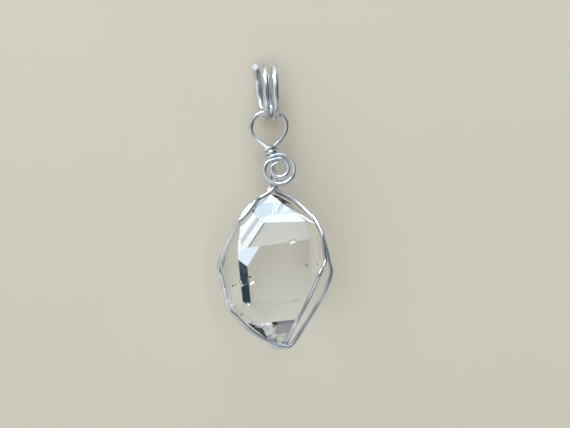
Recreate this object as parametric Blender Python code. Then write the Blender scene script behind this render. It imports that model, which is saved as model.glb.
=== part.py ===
# Wire-wrapped herkimer diamond lying on its flat back, its bail towards +Y.
# Dimensions are real millimetres and the scene is in metres. Wire points are measured
# from the middle of the stone: x to the right, y towards the bail, z up.

import math

import bmesh
import bpy
import numpy as np
from mathutils import Vector
from mathutils.bvhtree import BVHTree

MM = 0.001

ROUGH_BLOCK = 40  # the cube the crystal is cut from
CORNER = 0.03  # face corners nearer together than this are one
STONE_THICKNESS = 11.24
FRAME_WIRE_D = 0.60
BINDING_WIRE_D = 0.55
BAIL_WIRE_D = 1.00
BAIL_RADIUS = 3.60  # centreline of the coil
BAIL_PITCH = 1.30
BAIL_TURNS = 2.0
BAIL_LEAN_DEG = 5.4  # the turns stand upright in front and slant behind
BAIL_YAW_DEG = 3.2
BAIL_START_DEG = 100  # its cut ends lie just behind the top
AIR = 0.05  # space left between neighbouring metal and stone

FLOOR = -STONE_THICKNESS / 2
HINGE = Vector((-0.45, 21.70, -1.52))  # top of the loop, where the bail hangs
COIL_CENTRE = Vector((-2.40, 24.38, FLOOR + BAIL_RADIUS + BAIL_WIRE_D / 2))

# Crystal faces: azimuth and elevation of the outward normal, distance from the middle.
# The walls are steep and the back is flat, so that light passes straight through the table.
# The back faces mirror the room, and show through the table as bright and dark patches.
FACES = {
    "table": (0, 90, STONE_THICKNESS / 2),
    "steep_top": (98, 65, 6.58),
    "top_front": (95.4, 50, 7.43),
    "top_left": (118, 54, 7.10),
    "upper_left": (160, 22, 7.04),
    "left": (186, 22.7, 6.33),
    "top_right": (60, 12.6, 8.83),
    "right_chip": (28, 30.4, 8.32),
    "right": (4.4, 30, 7.35),
    "bottom_front": (-80.8, 44, 7.29),
    "bottom_right": (-28.5, 13.4, 6.38),
    "bottom_left": (-127, 25, 7.60),
    "back_table": (0, -90, STONE_THICKNESS / 2),
    "back_top": (97, -46, 7.49),
    "back_kite": (148.4, -48.75, 6.36),
    "back_bevel": (185.5, -40, 6.27),
    "back_bottom": (-84.6, -52, 7.01),
    "wall_top_left": (127.5, -20, 7.56),
    "wall_upper_left": (150.9, -12, 6.30),
    "wall_left": (162.9, -10, 6.70),
    "wall_lower_left": (193.5, -10, 6.60),
    "wall_bottom_left": (-130.9, -14, 7.30),
    "wall_tip": (-75, -14, 9.93),
    "wall_bottom_right": (-26.1, -8, 6.02),
    "wall_right": (11.2, -8, 6.81),
    "wall_upper_right": (22.1, -8, 7.25),
    "wall_shoulder": (47.3, -10, 8.26),
    "wall_top_right": (57.8, -14, 8.81),
}

# One strand circles the stone from the left side of the loop and passes outside the other.
STRAND_A = [
    (-0.10, 16.15, -0.60), (-0.02, 15.1, -0.42), (0.08, 13.9, -0.15), (0.25, 12.8, 0.08),
    (0.48, 11.9, 0.28), (0.25, 11.25, 0.42), (-0.55, 10.55, 0.62), (-2.33, 8.8, 1.85),
    (-3.60, 7.5, 2.95), (-4.80, 6.05, 3.10), (-6.45, 3.2, 1.95), (-7.25, 1.0, 0.55),
    (-7.50, 0.05, 0.20), (-7.00, -0.7, 0.25), (-6.58, -2.85, 0.90), (-5.93, -4.65, 1.40),
    (-4.89, -6.25, 1.80), (-3.58, -7.65, 1.70), (-1.84, -9.05, 1.40), (-0.10, -10.1, 1.10),
    (1.23, -10.45, 1.05), (2.25, -10.45, 0.95), (2.75, -10.05, 0.80), (3.96, -8.17, 0.60),
    (5.70, -5.34, 0.80), (7.26, -2.58, 1.30), (7.97, -0.40, 1.50), (7.90, 0.35, 1.50),
    (7.60, 1.3, 1.50), (7.33, 2.75, 1.55), (6.60, 4.95, 1.60), (5.60, 6.70, 0.90),
    (4.15, 8.45, -0.50), (2.40, 9.80, -1.05), (1.10, 10.45, -1.00), (0.45, 10.95, -1.00),
    (0.40, 11.7, -1.05), (0.40, 12.3, -1.00),
]
# The other starts at the right side of the loop and lies over the stone at its lower right.
STRAND_B = [
    (-0.40, 16.15, -1.19), (-0.30, 15.1, -1.02), (-0.22, 13.9, -0.73), (-0.30, 12.8, -0.48),
    (-0.45, 11.9, -0.35), (-0.15, 11.2, -0.30), (0.60, 10.65, -0.30), (2.40, 9.95, -0.20),
    (4.00, 8.65, 0.25), (5.35, 7.0, 1.60), (6.30, 5.05, 2.90), (6.95, 3.0, 2.90),
    (7.20, 1.4, 2.90), (7.00, 0.7, 3.40), (6.23, -0.55, 4.70), (5.70, -1.88, 4.00),
    (4.48, -4.6, 3.15), (3.08, -7.12, 3.05), (2.19, -9.04, 1.60), (1.86, -9.86, 0.70),
    (1.80, -10.35, 0.20), (1.55, -10.5, -0.30), (1.10, -10.4, -0.55), (-0.10, -10.0, -0.30),
    (-1.50, -9.3, 0.20), (-3.06, -8.25, 0.60), (-4.27, -7.2, 0.75), (-5.55, -5.5, 0.60),
    (-6.20, -4.0, 0.20), (-6.75, -2.2, -0.30), (-7.20, -0.55, -0.60), (-7.43, 0.45, -0.70),
    (-7.06, 1.8, -0.20), (-6.17, 3.7, 1.00), (-4.73, 6.15, 2.10), (-3.49, 7.65, 1.95),
    (-2.15, 9.0, 0.90), (-1.00, 10.15, -0.20), (-0.40, 11.0, -0.95), (-0.37, 11.7, -1.05),
    (-0.36, 12.3, -1.00),
]
# The loop between them, from the left side of the neck round to the right.
LOOP = [
    (-0.89, 16.85, -0.85), (-1.70, 17.4, -1.10), (-2.68, 18.35, -1.35), (-3.10, 19.5, -1.48),
    (-2.52, 20.95, -1.52), (-1.64, 21.55, -1.52), (-0.62, 21.70, -1.52), (0.30, 21.70, -1.52),
    (1.12, 21.35, -1.52), (1.85, 20.4, -1.50), (1.92, 19.6, -1.48), (1.60, 18.55, -1.40),
    (0.90, 17.6, -1.32), (0.15, 16.9, -1.26),
]

BINDING_START = 16.93
BINDING_PITCH = 0.59
BINDING_TURNS = 2.5  # from behind the neck to the front of the third turn
BINDING_RISE = 0.315  # the turns climb to the right in front
NECK_X = -0.27
NECK_HALF_WIDTH = 0.7
NECK_HALF_DEPTH = 0.8
SPIRAL_CENTRE = (0.88, 13.80, 0.56)
SPIRAL_SLOPE = -0.225  # it lies along the sloping neck
# Distance of the spiral's wire from its centre, at every quarter turn from the top.
SPIRAL_RADII = (1.98, 2.10, 2.06, 2.12, 1.42, 1.28, 1.15, 1.14, 1.00)

STEP = 0.2  # between the points of a wire while it settles
SETTLE_ROUNDS = 40
FRAME_STEP = 0.38  # between the points of the finished wires
BINDING_STEP = 0.27
BAIL_POINTS_A_TURN = 36
SMALLEST_BEND = 1.6  # along a wire, points nearer than this never count as touching


def face_normal(azimuth, elevation):
    a, e = math.radians(azimuth), math.radians(elevation)
    return Vector((math.cos(e) * math.cos(a), math.cos(e) * math.sin(a), math.sin(e)))


def crystal_mesh():
    bm = bmesh.new()
    bmesh.ops.create_cube(bm, size=ROUGH_BLOCK)
    for azimuth, elevation, distance in FACES.values():
        normal = face_normal(azimuth, elevation)
        cut = bmesh.ops.bisect_plane(
            bm, geom=bm.verts[:] + bm.edges[:] + bm.faces[:], dist=1e-5,
            plane_co=normal * distance, plane_no=normal, clear_outer=True)
        edges = [g for g in cut["geom_cut"] if isinstance(g, bmesh.types.BMEdge)]
        if edges:
            bmesh.ops.contextual_create(bm, geom=edges)
    bmesh.ops.remove_doubles(bm, verts=bm.verts, dist=CORNER)
    bmesh.ops.dissolve_degenerate(bm, edges=bm.edges, dist=CORNER / 3)
    bmesh.ops.recalc_face_normals(bm, faces=bm.faces)
    return bm


def resample(points, step):
    points = np.array(points, float)
    along = np.concatenate([[0], np.cumsum(np.linalg.norm(np.diff(points, axis=0), axis=1))])
    count = max(2, int(round(along[-1] / step)) + 1)
    at = np.linspace(0, along[-1], count)
    return np.column_stack([np.interp(at, along, points[:, k]) for k in range(3)])


def curve_through(points, step):  # a Catmull-Rom curve
    points = [Vector(p) for p in points]
    ends = [points[0] * 2 - points[1]] + points + [points[-1] * 2 - points[-2]]
    dense = []
    for p0, p1, p2, p3 in zip(ends, ends[1:], ends[2:], ends[3:]):
        for i in range(24):
            t = i / 24
            dense.append(0.5 * (2 * p1 + (p2 - p0) * t + (2 * p0 - 5 * p1 + 4 * p2 - p3) * t ** 2
                                + (3 * p1 - p0 - 3 * p2 + p3) * t ** 3))
    dense.append(points[-1])
    return resample(dense, step)


def relax(path, rounds=1):
    for _ in range(rounds):
        path[1:-1] = 0.5 * path[1:-1] + 0.25 * (path[:-2] + path[2:])
    return path


def hug(path, tree, reach):  # no point nearer to the stone than reach
    for i, point in enumerate(path):
        point = Vector(point)
        near, normal, _, distance = tree.find_nearest(point)
        inside = (point - near).dot(normal) < 0
        if inside or distance < reach:
            away = normal if inside or distance < 1e-6 else (point - near) / distance
            path[i] = near + away * reach
    return path


def wire(name, path, diameter, collection, resolution, origin=Vector()):
    curve = bpy.data.curves.new(name, "CURVE")
    curve.dimensions = "3D"
    curve.bevel_depth = diameter / 2 * MM
    curve.bevel_resolution = resolution
    curve.use_fill_caps = True
    spline = curve.splines.new("POLY")
    spline.points.add(len(path) - 1)
    for point, (x, y, z) in zip(spline.points, path):
        at = (Vector((x, y, z)) - origin) * MM
        point.co = (at.x, at.y, at.z, 1)
    obj = bpy.data.objects.new(name, curve)
    obj.location = origin * MM
    collection.objects.link(obj)
    return obj


def material(name, colour, roughness, metallic):
    made = bpy.data.materials.new(name)
    made.use_nodes = True
    shader = made.node_tree.nodes["Principled BSDF"]
    shader.inputs["Base Color"].default_value = (*colour, 1)
    shader.inputs["Roughness"].default_value = roughness
    shader.inputs["Metallic"].default_value = metallic
    return made


def spread(path, reach):  # strands that pass too near push each other apart
    gap = path[:, None] - path[None]
    distance = np.linalg.norm(gap, axis=2)
    order = np.arange(len(path))
    other = abs(order[:, None] - order[None]) * STEP > SMALLEST_BEND
    close = other & (distance < reach)
    share = np.where(close, (reach - distance) / np.maximum(distance, 0.01) / 2, 0)
    return path + (gap * share[:, :, None]).sum(axis=1) / np.maximum(close.sum(axis=1), 1)[:, None]


def frame_path(tree):
    path = curve_through(STRAND_A[::-1] + LOOP + STRAND_B, STEP)
    for settling in range(SETTLE_ROUNDS):
        if settling % 4 == 0:
            path = relax(path)
        path = spread(path, FRAME_WIRE_D + 1.6 * AIR)
        path = hug(path, tree, FRAME_WIRE_D / 2 + 1.4 * AIR)
    return resample(path, FRAME_STEP)


def keep_off(path, others, reach):  # no point nearer to another wire than reach
    for i, point in enumerate(path):
        away = point - others
        distance = np.linalg.norm(away, axis=1)
        near = distance.argmin()
        if distance[near] < reach:
            path[i] = others[near] + away[near] * reach / distance[near]
    return path


def neck_turns(legs):
    path = []
    steps = int(BINDING_TURNS * 44)
    for i in range(steps + 1):
        turn = BINDING_TURNS * i / steps
        angle = math.radians(270 - 360 * turn)
        y = BINDING_START - BINDING_PITCH * turn
        neck_z = legs[abs(legs[:, 1] - y) < FRAME_WIRE_D][:, 2].mean()
        x = NECK_X + NECK_HALF_WIDTH * math.cos(angle)
        z = neck_z + NECK_HALF_DEPTH * math.sin(angle)
        path.append((x, y + BINDING_RISE * (x - NECK_X), z))
    return path


def spiral_turns():
    path = []
    cx, cy, cz = SPIRAL_CENTRE
    last = len(SPIRAL_RADII) - 1
    for quarter in np.linspace(0, last, 24 * last + 1):
        angle = math.radians(90 - 90 * quarter)
        radius = np.interp(quarter, range(last + 1), SPIRAL_RADII)
        x, y = cx + radius * math.cos(angle), cy + radius * math.sin(angle)
        path.append((x, y, cz + SPIRAL_SLOPE * (y - cy)))
    return path


def binding_path(frame):
    legs = resample(frame, AIR)
    path = relax(resample(neck_turns(legs) + spiral_turns(), STEP), 2)
    for settling in range(SETTLE_ROUNDS):
        if settling % 8 == 0:
            path = relax(path)
        path = spread(path, BINDING_WIRE_D + AIR)
        path = keep_off(path, legs, (FRAME_WIRE_D + BINDING_WIRE_D) / 2 + AIR)
    return resample(path, BINDING_STEP)


def bail_path():
    lean, yaw = (math.tan(math.radians(a)) for a in (BAIL_LEAN_DEG, BAIL_YAW_DEG))
    path = []
    steps = int(BAIL_TURNS * BAIL_POINTS_A_TURN)
    for i in range(steps + 1):
        turn = BAIL_START_DEG / 360 + BAIL_TURNS * i / steps
        angle = 2 * math.pi * turn
        y, z = BAIL_RADIUS * math.sin(angle), BAIL_RADIUS * math.cos(angle)
        x = COIL_CENTRE.x + BAIL_PITCH * turn - y * lean + z * yaw
        path.append((x, COIL_CENTRE.y + y, COIL_CENTRE.z + z))
    return path


def box_of(objects):
    bpy.context.view_layer.update()
    depsgraph = bpy.context.evaluated_depsgraph_get()
    points = []
    for obj in objects:
        solid = obj.evaluated_get(depsgraph)
        points += [solid.matrix_world @ v.co for v in solid.to_mesh().vertices]
        solid.to_mesh_clear()
    points = np.array(points)
    return points.min(axis=0), points.max(axis=0)


def add_stone(collection):
    cut = crystal_mesh()
    tree = BVHTree.FromBMesh(cut)
    bmesh.ops.scale(cut, vec=(MM, MM, MM), verts=cut.verts)
    mesh = bpy.data.meshes.new("herkimer_diamond")
    cut.to_mesh(mesh)
    cut.free()
    mesh.materials.append(material("clear_quartz", (0.93, 0.95, 0.96), 0.03, 0.0))
    collection.objects.link(bpy.data.objects.new("herkimer_diamond", mesh))
    return tree


def add_wires(collection, tree):
    frame = frame_path(tree)
    frame_wire = wire("frame_wire", frame, FRAME_WIRE_D, collection, 2)
    binding_wire = wire("binding_wire", binding_path(frame), BINDING_WIRE_D, collection, 2)
    bail = wire("bail_coil", bail_path(), BAIL_WIRE_D, collection, 3, HINGE)
    frame_wire.data.materials.append(material("frame_silver", (0.86, 0.87, 0.88), 0.22, 1.0))
    binding_wire.data.materials.append(material("binding_silver", (0.87, 0.88, 0.89), 0.22, 1.0))
    bail.data.materials.append(material("bail_silver", (0.85, 0.86, 0.87), 0.20, 1.0))


def lay_on_origin(collection):  # the middle of the pendant's box, on the surface it lies on
    low, high = box_of(collection.objects)
    middle = Vector(((low[0] + high[0]) / 2, (low[1] + high[1]) / 2, low[2]))
    for obj in collection.objects:
        obj.location -= middle


for old in list(bpy.data.objects):
    bpy.data.objects.remove(old)

pendant = bpy.data.collections.new("herkimer_pendant")
bpy.context.scene.collection.children.link(pendant)
stone_tree = add_stone(pendant)
add_wires(pendant, stone_tree)
lay_on_origin(pendant)
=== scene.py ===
import math
import random

import bmesh
import bpy
import numpy as np
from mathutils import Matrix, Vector, noise


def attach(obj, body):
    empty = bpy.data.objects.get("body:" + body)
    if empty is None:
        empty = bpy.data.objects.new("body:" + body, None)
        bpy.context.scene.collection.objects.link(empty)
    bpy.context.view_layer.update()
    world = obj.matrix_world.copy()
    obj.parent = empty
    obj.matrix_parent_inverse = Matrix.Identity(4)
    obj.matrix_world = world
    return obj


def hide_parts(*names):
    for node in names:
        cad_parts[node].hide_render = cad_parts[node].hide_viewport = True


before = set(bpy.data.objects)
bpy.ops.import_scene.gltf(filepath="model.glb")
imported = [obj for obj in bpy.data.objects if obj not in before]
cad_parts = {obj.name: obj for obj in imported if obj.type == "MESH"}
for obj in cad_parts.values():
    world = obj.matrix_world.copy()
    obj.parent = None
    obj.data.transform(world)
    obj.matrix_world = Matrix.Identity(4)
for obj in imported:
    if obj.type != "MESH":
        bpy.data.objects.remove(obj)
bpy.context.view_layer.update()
mm = 0.001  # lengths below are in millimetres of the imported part, unless a note says metres
print("frame loaded")


# view from straight above, at the photograph's own framing
photoView = {
    "pixels": (570, 428),
    "pixelSize": 0.137,  # real millimetres across one pixel
    "middle": (1.37, -1.11, 5.6),  # what lies in the middle of the picture
    "height": 500,
    "sensor": 36,
}


def makeCamera():
    data = bpy.data.cameras.new("camera")
    camera = bpy.data.objects.new("camera", data)
    bpy.context.scene.collection.objects.link(camera)
    width = photoView["pixels"][0] * photoView["pixelSize"]
    data.sensor_width = photoView["sensor"]
    data.lens = photoView["sensor"] * photoView["height"] / width
    camera.location = (Vector(photoView["middle"]) + Vector((0, 0, photoView["height"]))) * mm
    bpy.context.scene.camera = camera


makeCamera()
print("camera placed")


def link(name, mesh, body, material):
    obj = bpy.data.objects.new(name, mesh)
    bpy.context.scene.collection.objects.link(obj)
    mesh.materials.append(material)
    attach(obj, body)
    return obj


# node helpers: a new material, a node with its settings, and a colour ramp
def startMaterial(name):
    material = bpy.data.materials.new(name)
    material.use_nodes = True
    tree = material.node_tree
    return material, tree, tree.nodes["Principled BSDF"]


def addNode(tree, kind, settings=None, **inputs):
    node = tree.nodes.new(kind)
    for key, value in (settings or {}).items():
        setattr(node, key, value)
    for key, value in inputs.items():
        key = key.replace("_", " ")
        if isinstance(value, bpy.types.NodeSocket):
            tree.links.new(value, node.inputs[key])
        else:
            node.inputs[key].default_value = value
    return node


def addRamp(tree, factor, stops):
    ramp = addNode(tree, "ShaderNodeValToRGB", Fac=factor)
    while len(ramp.color_ramp.elements) < len(stops):
        ramp.color_ramp.elements.new(0.5)
    for element, (place, value) in zip(ramp.color_ramp.elements, stops):
        element.position = place
        element.color = value if len(value) == 4 else (*value, 1)
    return ramp.outputs["Color"]


curve = {
    "parts": 8,  # points laid between two given ones
    "passes": 6,  # rounds of averaging that take out small kinks
}


def smoothLine(points, step):  # a smooth curve along the points, in even steps
    ends = [points[0] * 2 - points[1]] + points + [points[-1] * 2 - points[-2]]
    dense = []
    for p0, p1, p2, p3 in zip(ends, ends[1:], ends[2:], ends[3:]):
        for i in range(curve["parts"]):
            t = i / curve["parts"]
            dense.append(0.5 * (2 * p1 + (p2 - p0) * t + (2 * p0 - 5 * p1 + 4 * p2 - p3) * t ** 2
                                + (3 * p1 - p0 - 3 * p2 + p3) * t ** 3))
    dense = np.array(dense + [points[-1]])
    for _ in range(curve["passes"]):
        dense[1:-1] = 0.5 * dense[1:-1] + 0.25 * (dense[:-2] + dense[2:])
    along = np.concatenate([[0], np.cumsum(np.linalg.norm(np.diff(dense, axis=0), axis=1))])
    at = np.linspace(0, along[-1], int(along[-1] / step) + 1)
    return [Vector([np.interp(s, along, dense[:, k]) for k in range(3)]) for s in at], at


quartz = {
    "ior": 1.544,
    "clean": 0.004,  # roughness of a bright natural face
    "smudged": 0.03,
    "tint": (0.80, 0.87, 0.90),
    "density": 5.0,
    "smudgeScale": 260.0,
    "swellScale": 420.0,
    "growthScale": (300.0, 9000.0, 9000.0),  # fine across the lines and long along them
    "growthTurn": -6,  # degrees; tilts the lines about as the broad upper face's lower edge runs
    "wave": 0.000004,  # metres that a natural face swells and dips
    "stripe": 0.0000004,  # metres from the top to the bottom of its growth lines
}


def quartzMaterial():
    material, tree, shader = startMaterial("clearQuartz")
    shader.inputs["Base Color"].default_value = (1.0, 1.0, 1.0, 1)
    shader.inputs["Transmission Weight"].default_value = 1.0
    shader.inputs["IOR"].default_value = quartz["ior"]
    place = addNode(tree, "ShaderNodeTexCoord").outputs["Object"]
    smudge = addNode(tree, "ShaderNodeTexNoise", Vector=place, Scale=quartz["smudgeScale"], Detail=3.0)
    polish = addNode(tree, "ShaderNodeMapRange", Value=smudge.outputs["Fac"], From_Min=0.45, From_Max=0.75,
                     To_Min=quartz["clean"], To_Max=quartz["smudged"])
    tree.links.new(polish.outputs["Result"], shader.inputs["Roughness"])
    swell = addNode(tree, "ShaderNodeTexNoise", Vector=place, Scale=quartz["swellScale"], Detail=1.0)
    wave = addNode(tree, "ShaderNodeBump", Distance=quartz["wave"], Height=swell.outputs["Fac"])
    turned = addNode(tree, "ShaderNodeMapping", Vector=place,
                     Rotation=(0, 0, math.radians(quartz["growthTurn"])), Scale=quartz["growthScale"])
    growth = addNode(tree, "ShaderNodeTexNoise", Vector=turned.outputs["Vector"], Scale=1.0, Detail=2.0)
    lines = addNode(tree, "ShaderNodeBump", Distance=quartz["stripe"], Height=growth.outputs["Fac"],
                    Normal=wave.outputs["Normal"])
    tree.links.new(lines.outputs["Normal"], shader.inputs["Normal"])
    absorb = addNode(tree, "ShaderNodeVolumeAbsorption", Color=(*quartz["tint"], 1),
                     Density=quartz["density"])
    tree.links.new(absorb.outputs["Volume"], tree.nodes["Material Output"].inputs["Volume"])
    return material


def speckMaterial():  # the black grains that such crystals hold
    material, tree, shader = startMaterial("blackSpeck")
    place = addNode(tree, "ShaderNodeTexCoord").outputs["Object"]
    grain = addNode(tree, "ShaderNodeTexNoise", Vector=place, Scale=9000.0, Detail=2.0)
    colour = addRamp(tree, grain.outputs["Fac"], [(0.3, (0.012, 0.010, 0.009)), (0.7, (0.05, 0.042, 0.035))])
    tree.links.new(colour, shader.inputs["Base Color"])
    shader.inputs["Roughness"].default_value = 0.5
    return material


crystal = {
    "merge": 0.002,  # joins points of the solid that lie this close
    "flatAngle": 0.4,  # degrees, the most between two triangles of one natural face
    "edge": 0.035,  # worn width of the crystal's edges
    # small breaks: a point on the broken surface, where it faces (azimuth, elevation), half sizes
    "chips": [
        ((2.38, -4.98, 11.10), (115, 54), (0.52, 0.36, 0.25)),  # below the broad upper face
        ((-4.74, -10.50, 11.02), (128, 54), (0.34, 0.26, 0.25)),  # on the left edge of the front
        ((-3.80, -13.42, 11.08), (118, 54), (0.26, 0.20, 0.22)),
    ],
    # flat cracks inside: middle, where they face, half sizes
    "flakes": [
        ((-2.99, -10.55, 5.8), (116, 47), (0.42, 0.22, 0.012)),
        ((-4.30, -10.78, 6.2), (112, 47), (0.36, 0.18, 0.012)),
        ((-3.72, -13.60, 5.0), (118, 47), (0.40, 0.20, 0.012)),
        ((-3.45, -9.72, 4.6), (100, 47), (0.24, 0.20, 0.012)),
        ((0.10, 0.35, 5.4), (105, 46), (0.60, 0.28, 0.015)),
        ((-1.90, -15.9, 6.2), (110, 47), (0.60, 0.24, 0.015)),
        ((-2.60, -15.2, 6.0), (120, 47), (0.36, 0.18, 0.012)),
    ],
    # hollow threads inside: points along each, and its radius in the middle
    "threads": [
        ([(-2.53, -9.42, 6.4), (-2.20, -9.98, 6.1), (-1.66, -10.33, 5.9), (-1.05, -10.25, 5.9),
          (-0.62, -9.98, 6.1)], 0.08),
        ([(-2.62, -7.35, 2.6), (-2.66, -8.3, 2.3), (-2.60, -9.42, 2.2)], 0.05),
    ],
    # black grains: middle and half size
    "specks": [((4.33, -8.09, 6.5), 0.16), ((4.02, -7.86, 6.1), 0.08), ((-1.1, -6.2, 4.0), 0.04),
               ((1.7, -11.6, 7.4), 0.05), ((-0.3, -13.0, 3.4), 0.05)],
    "bubbles": 16,
    "bubbleSize": (0.02, 0.05),
    "scatter": 5,  # another number places the bubbles anew
    "knobbly": (0.08, 1.6),  # height and pace of the unevenness of a lump
    "threadStep": 0.06,
    "threadTip": 0.08,  # share of the radius that is left at its ends
    "bubbleHaze": ((-1.3, -10.6, 6.0), (1.3, 1.6, 2.2)),  # middle and half sizes of where they lie
}


def facing(azimuth, elevation):
    a, e = math.radians(azimuth), math.radians(elevation)
    return Vector((math.cos(e) * math.cos(a), math.cos(e) * math.sin(a), math.sin(e)))


def addLump(bm, middle, direction, sizes, detail, squareness=2.0):  # a squashed ball, slightly knobbly
    turn = direction.to_track_quat("Z", "Y")
    middle = Vector(middle)
    height, pace = crystal["knobbly"]
    ball = bmesh.ops.create_icosphere(bm, subdivisions=detail, radius=1)["verts"]
    for v in ball:
        reach = sum(abs(c) ** squareness for c in v.co) ** (-1 / squareness)
        p = v.co * reach * (1 + height * noise.noise(v.co * pace + middle))
        v.co = middle + turn @ Vector((p.x * sizes[0], p.y * sizes[1], p.z * sizes[2]))
    return list({face for v in ball for face in v.link_faces})


def addThread(bm, points, radius, sides=10):
    line, at = smoothLine([Vector(p) for p in points], crystal["threadStep"])
    tip = crystal["threadTip"]
    rings = []
    for centre, s, ahead in zip(line, at, line[1:] + [line[-1] * 2 - line[-2]]):
        tangent = (ahead - centre).normalized()
        side = tangent.cross(Vector((0, 0, 1))).normalized()
        up = side.cross(tangent)
        r = radius * (tip + (1 - tip) * abs(math.sin(math.pi * s / at[-1])) ** 0.7)
        rings.append([bm.verts.new(centre + (side * math.cos(a) + up * math.sin(a)) * r)
                      for a in (2 * math.pi * k / sides for k in range(sides))])
    faces = [bm.faces.new((a[k], b[k], b[(k + 1) % sides], a[(k + 1) % sides]))
             for a, b in zip(rings, rings[1:]) for k in range(sides)]
    faces += [bm.faces.new(rings[0]), bm.faces.new(rings[-1][::-1])]
    return faces


def cutChips(bm):
    stone, chips = bpy.data.meshes.new("stoneBlank"), bpy.data.meshes.new("chipCutter")
    bm.to_mesh(stone)
    tool = bmesh.new()
    for middle, (azimuth, elevation), sizes in crystal["chips"]:
        outward = facing(azimuth, elevation)
        addLump(tool, Vector(middle) + outward * sizes[2], outward, sizes, 4, 4.0)
    tool.to_mesh(chips)
    tool.free()
    blank, cutter = (bpy.data.objects.new(mesh.name, mesh) for mesh in (stone, chips))
    for obj in (blank, cutter):
        bpy.context.scene.collection.objects.link(obj)
    cut = blank.modifiers.new("chips", "BOOLEAN")
    cut.object, cut.operation, cut.solver = cutter, "DIFFERENCE", "EXACT"
    chipped = blank.evaluated_get(bpy.context.evaluated_depsgraph_get()).to_mesh()
    bm.clear()
    bm.from_mesh(chipped)
    bpy.data.objects.remove(blank)
    bpy.data.objects.remove(cutter)


def addHollows(bm):  # every skin faces inwards, also round a grain, since the quartz stops there
    hollows, specks = [], []
    for middle, (azimuth, elevation), sizes in crystal["flakes"]:
        hollows += addLump(bm, middle, facing(azimuth, elevation), sizes, 3)
    for points, radius in crystal["threads"]:
        hollows += addThread(bm, points, radius)
    scatter = random.Random(crystal["scatter"])
    middle, reach = crystal["bubbleHaze"]
    for _ in range(crystal["bubbles"]):
        at = [m + r * scatter.uniform(-1, 1) for m, r in zip(middle, reach)]
        size = scatter.uniform(*crystal["bubbleSize"])
        hollows += addLump(bm, at, facing(0, 90), (size, size, size * 0.8), 2)
    for middle, size in crystal["specks"]:
        specks += addLump(bm, middle, facing(30, 60), (size, size * 0.75, size * 0.6), 2)
    for face in specks:
        face.material_index = 1
    bmesh.ops.reverse_faces(bm, faces=hollows + specks)
    for face in hollows:
        face.smooth = True


def makeCrystal():
    bm = bmesh.new()
    bm.from_mesh(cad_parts["herkimer_diamond"].data)
    bmesh.ops.scale(bm, vec=[1 / mm] * 3, verts=bm.verts)
    bmesh.ops.remove_doubles(bm, verts=bm.verts, dist=crystal["merge"])
    bmesh.ops.dissolve_limit(bm, angle_limit=math.radians(crystal["flatAngle"]), verts=bm.verts,
                             edges=bm.edges)
    bmesh.ops.bevel(bm, geom=bm.edges[:], offset=crystal["edge"], segments=2, affect="EDGES",
                    clamp_overlap=True)
    cutChips(bm)
    addHollows(bm)
    bmesh.ops.scale(bm, vec=[mm] * 3, verts=bm.verts)
    mesh = bpy.data.meshes.new("crystal")
    bm.to_mesh(mesh)
    bm.free()
    obj = link("crystal", mesh, "wrapped_stone", quartzMaterial())
    mesh.materials.append(speckMaterial())
    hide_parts("herkimer_diamond")
    obj.visible_shadow = False  # a shortcut: else the floor under the clear stone turns much too dark


makeCrystal()
print("crystal cut")


wireEnd = {
    "merge": 1e-7,  # metres; joins points of the solid that lie this close
    "flat": 0.99999,  # how nearly two triangles of one cut end face the same way
    "corners": 8,  # the fewest that a cut end has
    "round": 1.1,  # its longest reach over its shortest
}


# Each wire follows the middle of its own solid.
def endRing(bm):  # a cut end is the only round flat on a wire
    seen = set()
    for face in bm.faces:
        if face.index in seen:
            continue
        flat = {face.index: face}
        todo = [face]
        while todo:
            for edge in todo.pop().edges:
                for other in edge.link_faces:
                    if other.index not in flat and other.normal.dot(face.normal) > wireEnd["flat"]:
                        flat[other.index] = other
                        todo.append(other)
        seen |= set(flat)
        ring = {v.index: v for f in flat.values() for v in f.verts}
        centre = sum((v.co for v in ring.values()), Vector()) / len(ring)
        reach = [(v.co - centre).length for v in ring.values()]
        if len(ring) >= wireEnd["corners"] and max(reach) < wireEnd["round"] * min(reach):
            return ring
    return None


def centreLine(node):
    bm = bmesh.new()
    bm.from_mesh(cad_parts[node].data)
    bmesh.ops.remove_doubles(bm, verts=bm.verts, dist=wireEnd["merge"])
    bm.normal_update()
    bm.verts.index_update()
    bm.faces.index_update()
    ring = endRing(bm)
    met = set(ring)
    line = []
    while ring:
        line.append(sum((ring[k].co for k in sorted(ring)), Vector()) / len(ring) / mm)
        step = [edge.other_vert(v) for v in ring.values() for edge in v.link_edges]
        ring = {v.index: v for v in step if v.index not in met}
        met |= set(ring)
    bm.free()
    return line


drawnWire = {
    "rounding": 0.22,  # share of the radius by which the cut ends are rounded over
    "swell": (0.012, 0.45),  # share of the radius, and pace along the wire
    "flatness": (0.02, 0.3),
    "turn": (3, 0.1),  # radians that the flattened sides wander
}


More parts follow.
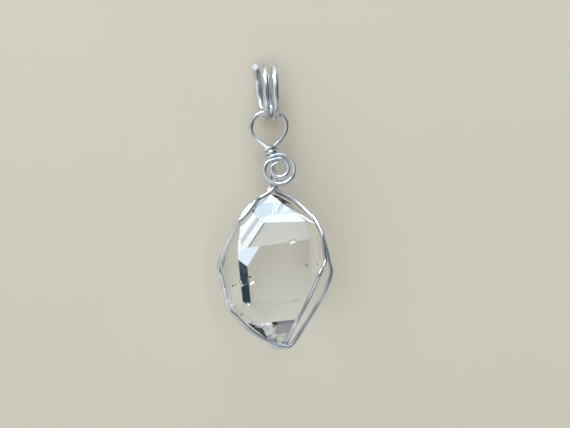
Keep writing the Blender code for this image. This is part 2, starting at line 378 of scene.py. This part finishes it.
def sweepWire(name, line, at, radius, sides, seed):
    offset = Vector((seed * 7.3, seed * 3.1, seed * 5.7))
    tangents = [(b - a).normalized() for a, b in zip([line[0]] + line[:-1], line[1:] + [line[-1]])]
    side = tangents[0].orthogonal().normalized()
    points, along, around = [], [], []
    rounding = drawnWire["rounding"]
    endPart = radius * rounding
    swellHeight, swellPace = drawnWire["swell"]
    flatHeight, flatPace = drawnWire["flatness"]
    turnReach, turnPace = drawnWire["turn"]
    length = at[-1]
    for centre, tangent, s in zip(line, tangents, at):
        side = (side - tangent * side.dot(tangent)).normalized()
        up = tangent.cross(side)
        toEnd = min(s, length - s)
        shrink = 1.0
        if toEnd < endPart:
            shrink = 1 - rounding * (1 - math.sqrt(max(0, 1 - (1 - toEnd / endPart) ** 2)))
        swell = 1 + swellHeight * noise.noise(Vector((s * swellPace, 0, 0)) + offset)
        flat = flatHeight * noise.noise(Vector((s * flatPace, 9, 0)) + offset)
        turn = noise.noise(Vector((s * turnPace, 0, 5)) + offset) * turnReach
        for k in range(sides):
            angle = 2 * math.pi * k / sides
            r = radius * swell * shrink * (1 + flat * math.cos(2 * (angle + turn)))
            points.append((centre + (side * math.cos(angle) + up * math.sin(angle)) * r) * mm)
            along.append(s)
            around.append(angle)
    rings = len(line)
    faces = [(i * sides + k, i * sides + (k + 1) % sides,
              (i + 1) * sides + (k + 1) % sides, (i + 1) * sides + k)
             for i in range(rings - 1) for k in range(sides)]
    faces.append(tuple(reversed(range(sides))))
    faces.append(tuple(range((rings - 1) * sides, rings * sides)))
    mesh = bpy.data.meshes.new(name)
    mesh.from_pydata(points, [], faces)
    mesh.polygons.foreach_set("use_smooth", [True] * (len(faces) - 2) + [False] * 2)
    mesh.attributes.new("alongWire", "FLOAT", "POINT").data.foreach_set("value", along)
    mesh.attributes.new("aroundWire", "FLOAT", "POINT").data.foreach_set("value", around)
    mesh.update()
    return mesh


silver = {
    "colour": (0.80, 0.82, 0.835),
    "shade": (0.56, 0.60, 0.64),
    "polished": 0.17,  # roughness
    "worn": 0.32,
    "cloudScale": 420.0,
    "drawn": (0.35, 5.0, 0.12),  # pace along the wire, scale and strength of the drawing lines
    "lineDepth": 0.00002,  # metres
}


def silverMaterial(name):
    material, tree, shader = startMaterial(name)
    shader.inputs["Metallic"].default_value = 1.0
    place = addNode(tree, "ShaderNodeTexCoord").outputs["Object"]
    cloud = addNode(tree, "ShaderNodeTexNoise", Vector=place, Scale=silver["cloudScale"], Detail=4.0)
    pace, scale, strength = silver["drawn"]
    colour = addRamp(tree, cloud.outputs["Fac"], [(0.35, silver["shade"]), (0.6, silver["colour"])])
    tree.links.new(colour, shader.inputs["Base Color"])
    wear = addNode(tree, "ShaderNodeMapRange", Value=cloud.outputs["Fac"], From_Min=0.4, From_Max=0.8,
                   To_Min=silver["polished"], To_Max=silver["worn"])
    tree.links.new(wear.outputs["Result"], shader.inputs["Roughness"])
    along = addNode(tree, "ShaderNodeAttribute", {"attribute_name": "alongWire"}).outputs["Fac"]
    around = addNode(tree, "ShaderNodeAttribute", {"attribute_name": "aroundWire"}).outputs["Fac"]
    slow = addNode(tree, "ShaderNodeMath", {"operation": "MULTIPLY"})
    tree.links.new(along, slow.inputs[0])
    slow.inputs[1].default_value = pace
    drawn = addNode(tree, "ShaderNodeCombineXYZ", X=slow.outputs[0], Y=around)
    lines = addNode(tree, "ShaderNodeTexNoise", Vector=drawn.outputs["Vector"], Scale=scale, Detail=5.0)
    bump = addNode(tree, "ShaderNodeBump", Strength=strength, Distance=silver["lineDepth"],
                   Height=lines.outputs["Fac"])
    tree.links.new(bump.outputs["Normal"], shader.inputs["Normal"])
    return material


wires = {
    "frame_wire": {"piece": "wrapWire", "body": "wrapped_stone", "slot": "frame_silver", "radius": 0.298,
                   "sides": 20, "step": 0.12, "seed": 1},
    "binding_wire": {"piece": "spiralWire", "body": "wrapped_stone", "slot": "binding_silver",
                     "radius": 0.273, "sides": 20, "step": 0.10, "seed": 2},
    "bail_coil": {"piece": "bailWire", "body": "bail", "slot": "bail_silver", "radius": 0.498,
                  "sides": 28, "step": 0.14, "seed": 3},
}

for node, wire in wires.items():
    line, at = smoothLine(centreLine(node), wire["step"])
    mesh = sweepWire(wire["piece"], line, at, wire["radius"], wire["sides"], wire["seed"])
    obj = link(wire["piece"], mesh, wire["body"], silverMaterial(wire["piece"] + "Silver"))
    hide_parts(node)
    print(wire["piece"], "drawn,", round(float(at[-1]), 1), "mm long")


studio = {
    "floorSize": 900,
    "floorDrop": 0.03,  # keeps the floor and the crystal's flat back apart
    "floor": (0.50, 0.455, 0.375),
    "zenith": (0.22, 0.23, 0.25),  # above the pendant, and mirrored along the middle of every wire
    "sky": (1.05, 1.09, 1.13),
    "horizon": (0.62, 0.63, 0.62),
    "shade": (0.02, 0.06, 0.085),  # the side away from the window, dark teal in the crystal's strip
    "strength": 0.8,
    "bounces": 32,  # clear faces pass a ray on many times
}

# windowBox, sillBox and skyBox stand beyond the top of the picture, fillBox at its lower right.
# All but overheadBox are mirrored in the crystal and the wires.
softboxes = {
    "windowBox": {"azimuth": 116, "elevation": 19, "distance": 350, "size": (150, 110), "power": 0.52,
                  "colour": (0.80, 0.91, 1.0)},
    "sillBox": {"azimuth": 92, "elevation": 11, "distance": 350, "size": (110, 70), "power": 0.32,
                "colour": (0.68, 0.87, 1.0)},
    "skyBox": {"azimuth": 98, "elevation": 42, "distance": 400, "size": (200, 130), "power": 0.25,
               "colour": (0.62, 0.82, 1.0)},
    "fillBox": {"azimuth": -32, "elevation": 17, "distance": 400, "size": (150, 90), "power": 0.04,
                "colour": (0.80, 0.91, 1.0)},
    "overheadBox": {"azimuth": 0, "elevation": 90, "distance": 700, "size": (600, 600), "power": 3.2,
                    "colour": (1.0, 0.99, 0.97), "mirrored": False},  # lights the floor
}


def makeFloor():
    half = studio["floorSize"] / 2 * mm
    low = -studio["floorDrop"] * mm
    mesh = bpy.data.meshes.new("floor")
    mesh.from_pydata([(-half, -half, low), (half, -half, low), (half, half, low), (-half, half, low)], [],
                     [(0, 1, 2, 3)])
    material, tree, shader = startMaterial("paleFloor")
    place = addNode(tree, "ShaderNodeTexCoord").outputs["Object"]
    cloud = addNode(tree, "ShaderNodeTexNoise", Vector=place, Scale=30.0, Detail=5.0)
    tone = studio["floor"]
    colour = addRamp(tree, cloud.outputs["Fac"], [(0.3, [c * 0.97 for c in tone]), (0.7, tone)])
    tree.links.new(colour, shader.inputs["Base Color"])
    shader.inputs["Roughness"].default_value = 0.75
    mesh.materials.append(material)
    floor = bpy.data.objects.new("floor", mesh)
    bpy.context.scene.collection.objects.link(floor)


def makeLights():
    for name, box in softboxes.items():
        data = bpy.data.lights.new(name, "AREA")
        data.shape = "RECTANGLE"
        data.size, data.size_y = (s * mm for s in box["size"])
        data.energy = box["power"]
        data.color = box["colour"]
        light = bpy.data.objects.new(name, data)
        away = facing(box["azimuth"], box["elevation"])
        light.location = away * box["distance"] * mm
        light.rotation_mode = "QUATERNION"
        light.rotation_quaternion = away.to_track_quat("Z", "Y")
        light.visible_camera = False
        light.visible_glossy = box.get("mirrored", True)
        light.visible_transmission = box.get("mirrored", True)
        bpy.context.scene.collection.objects.link(light)


def makeWorld():
    world = bpy.data.worlds.new("softRoom")
    bpy.context.scene.world = world
    world.use_nodes = True
    tree = world.node_tree
    place = addNode(tree, "ShaderNodeTexCoord").outputs["Generated"]
    axes = addNode(tree, "ShaderNodeSeparateXYZ", Vector=place)
    colour = addRamp(tree, axes.outputs["Z"],
                     [(0.0, studio["horizon"]), (0.45, studio["sky"]), (0.80, studio["sky"]),
                      (0.97, studio["zenith"])])
    dim = addNode(tree, "ShaderNodeMapRange", Value=axes.outputs["X"], From_Min=0.1, From_Max=0.8)
    mixed = addNode(tree, "ShaderNodeMix", {"data_type": "RGBA"})
    tree.links.new(dim.outputs["Result"], mixed.inputs["Factor"])
    tree.links.new(colour, mixed.inputs["A"])
    mixed.inputs["B"].default_value = (*studio["shade"], 1)
    tree.links.new(mixed.outputs["Result"], tree.nodes["Background"].inputs["Color"])
    tree.nodes["Background"].inputs["Strength"].default_value = studio["strength"]


makeFloor()
makeLights()
makeWorld()
bpy.context.scene.view_settings.view_transform = "Standard"
bpy.context.scene.cycles.max_bounces = studio["bounces"]
bpy.context.scene.cycles.transmission_bounces = studio["bounces"]
print("floor, softboxes and room made")
